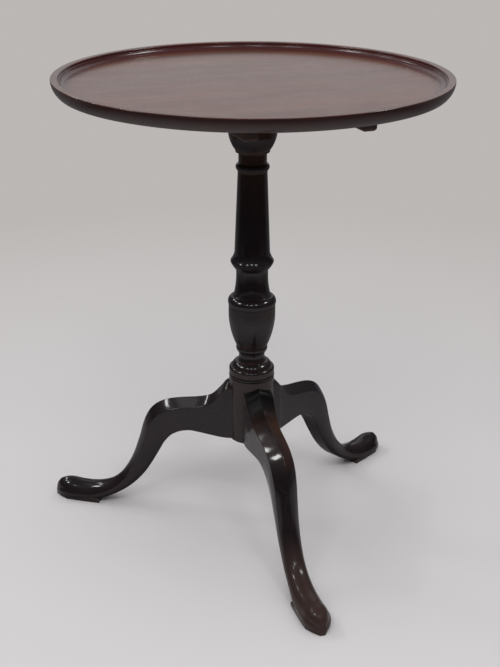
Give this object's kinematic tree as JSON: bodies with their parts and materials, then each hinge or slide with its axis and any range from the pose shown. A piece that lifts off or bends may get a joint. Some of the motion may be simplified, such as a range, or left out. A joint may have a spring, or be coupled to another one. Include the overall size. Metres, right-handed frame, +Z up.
{
  "type": "tray top tea table",
  "caption": "Round tilt-top tea table with a dished tray top, a turned column and cabriole tripod legs on pointed pad feet, in dark polished wood.",
  "frame": {"origin": "on the floor under the column's axis", "axes": "+Z up; the tilt pivot runs along X; the front leg points nearly along -Y, and the top tilts so that its -Y edge rises"},
  "size_m": [0.5781, 0.6107, 0.7113],
  "materials": {
    "mahogany": "gloss",
    "dry_mahogany": "satin",
    "iron": "matte",
    "brass": "satin",
    "spring_steel": "satin"
  },
  "bodies": {
    "base": {"tilt_block": "dry_mahogany", "tenon_wedge": "dry_mahogany", "column": "mahogany", "leg_front": "mahogany", "leg_right": "mahogany", "leg_left": "mahogany", "leg_brace": "iron", "brace_screws": "iron", "keep_plate": "brass", "keep_screws": "brass"},
    "top": {"tray_top": "mahogany", "bearer_left": "dry_mahogany", "bearer_right": "dry_mahogany", "bearer_screws_left": "iron", "bearer_screws_right": "iron", "catch_case": "brass", "catch_screws": "brass", "catch_spring": "spring_steel"},
    "catch_slide": {"catch_bolt": "brass", "catch_knob": "brass"}
  },
  "joints": [
    {"name": "top_tilt", "type": "hinge", "parent": "base", "child": "top", "pos_m": [0, 0.046, 0.6798], "axis": [-1, 0, 0], "range_deg": [0, 90]},
    {"name": "catch_draw", "type": "slide", "parent": "top", "child": "catch_slide", "axis": [0, 1, 0], "range_m": [0, 0.008], "stiffness_N_per_m": 150, "springref_m": 0.014, "deforming": ["catch_spring"]}
  ]
}
